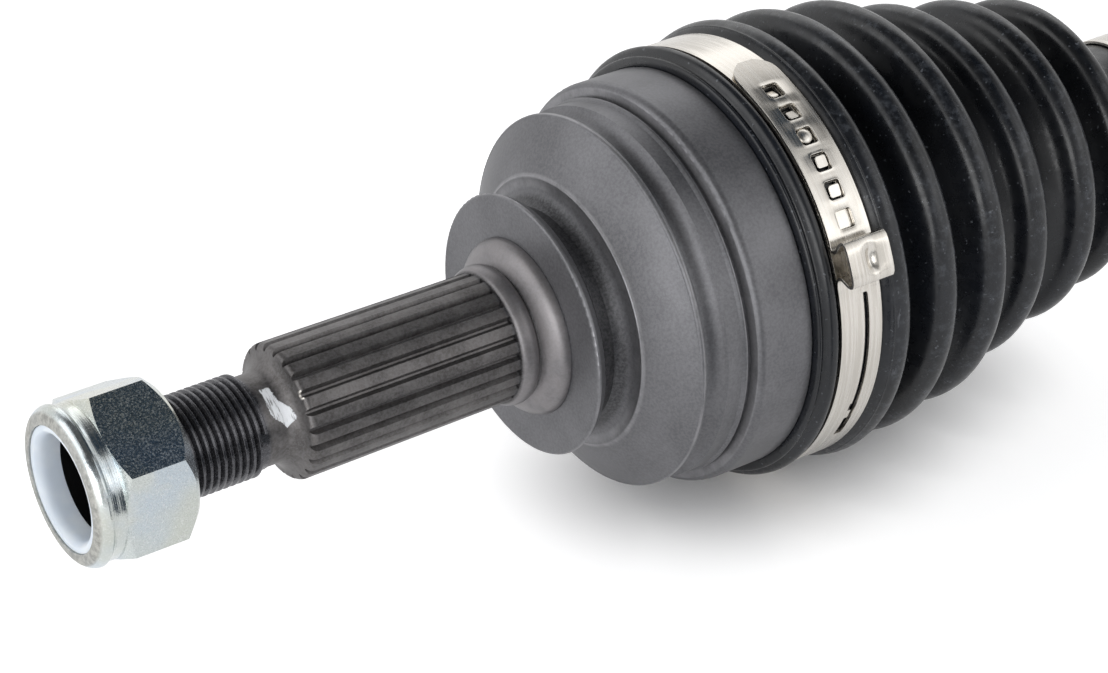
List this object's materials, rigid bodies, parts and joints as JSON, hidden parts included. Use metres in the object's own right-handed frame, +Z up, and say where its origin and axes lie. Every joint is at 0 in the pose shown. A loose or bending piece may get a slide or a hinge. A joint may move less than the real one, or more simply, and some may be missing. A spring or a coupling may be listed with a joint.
{
  "type": "drive shaft",
  "caption": "Front wheel drive shaft: fixed ball joint with splined, threaded hub stub and lock nut, solid bar, sliding tripod joint, rubber boots and ear clamps.",
  "frame": {"origin": "middle of the smooth hub seat in front of the bell's shoulder, on the shaft's axis", "axes": "+X along the shaft from the hub end to the gearbox end, +Z up, with the bend axes of both joints along Z"},
  "size_m": [0.644, 0.093, 0.0924],
  "materials": {
    "phosphated_steel": "satin dark grey phosphated forging",
    "zinc_plated_steel": "bright zinc plate",
    "nylon": "pale blue nylon",
    "hardened_steel": "ground hardened steel",
    "ball_steel": "polished bearing steel",
    "spring_steel": "oil blackened spring steel",
    "painted_steel": "satin black paint",
    "boot_rubber": "black moulded rubber",
    "stainless_band": "bright stainless strip"
  },
  "bodies": {
    "bell": {"outer_joint_bell": "phosphated_steel", "outer_boot": "boot_rubber", "outer_boot_large_clamp": "stainless_band"},
    "nut_ring": {"nut_locking_ring": "nylon"},
    "nut": {"hub_nut": "zinc_plated_steel"},
    "cage": {"ball_cage": "hardened_steel", "ball_1": "ball_steel", "ball_2": "ball_steel", "ball_3": "ball_steel", "ball_4": "ball_steel", "ball_5": "ball_steel", "ball_6": "ball_steel"},
    "bar": {"axle_bar": "painted_steel", "inner_race": "hardened_steel", "race_circlip": "spring_steel", "tripod_spider": "hardened_steel", "spider_circlip": "spring_steel", "needle_rollers_1": "ball_steel", "needle_rollers_2": "ball_steel", "needle_rollers_3": "ball_steel", "roller_washer_1": "spring_steel", "roller_washer_2": "spring_steel", "roller_washer_3": "spring_steel", "outer_boot_small_clamp": "stainless_band", "inner_boot_small_clamp": "stainless_band"},
    "first_roller": {"roller_1": "ball_steel"},
    "second_roller": {"roller_2": "ball_steel"},
    "third_roller": {"roller_3": "ball_steel"},
    "tulip": {"tulip_housing": "phosphated_steel", "gearbox_circlip": "spring_steel", "inner_boot": "boot_rubber", "inner_boot_large_clamp": "stainless_band"}
  },
  "joints": [
    {"name": "outer_bend", "type": "hinge", "parent": "bell", "child": "bar", "pos_m": [0.048, 0, 0], "axis": [0, 0, 1], "range_deg": [-45, 45], "deforming": ["outer_boot"]},
    {"name": "cage_bend", "type": "hinge", "parent": "bell", "child": "cage", "pos_m": [0.048, 0, 0], "axis": [0, 0, 1], "range_deg": [-22.5, 22.5]},
    {"name": "nut_travel", "type": "slide", "parent": "bell", "child": "nut_ring", "axis": [1, 0, 0], "range_m": [-0.00825, 0.015]},
    {"name": "nut_turn", "type": "hinge", "parent": "nut_ring", "child": "nut", "pos_m": [-0.0835, 0, 0], "axis": [1, 0, 0], "range_deg": [-1980, 3600]},
    {"name": "inner_bend", "type": "hinge", "parent": "bar", "child": "first_roller", "pos_m": [0.428, 0, 0], "axis": [0, 0, 1], "range_deg": [-18, 18], "deforming": ["inner_boot"]},
    {"name": "plunge", "type": "slide", "parent": "first_roller", "child": "tulip", "axis": [1, 0, 0], "range_m": [-0.012, 0.012], "deforming": ["inner_boot"]},
    {"name": "second_roller_spin", "type": "hinge", "parent": "bar", "child": "second_roller", "pos_m": [0.428, 0, 0], "axis": [0, -0.866, -0.5], "continuous": true},
    {"name": "third_roller_spin", "type": "hinge", "parent": "bar", "child": "third_roller", "pos_m": [0.428, 0, 0], "axis": [0, 0.866, -0.5], "continuous": true}
  ],
  "couplings": [
    {"joint": "cage_bend", "follows": "outer_bend", "ratio": 0.5},
    {"joint": "nut_travel", "follows": "nut_turn", "m_per_rad": 0.00023873}
  ]
}
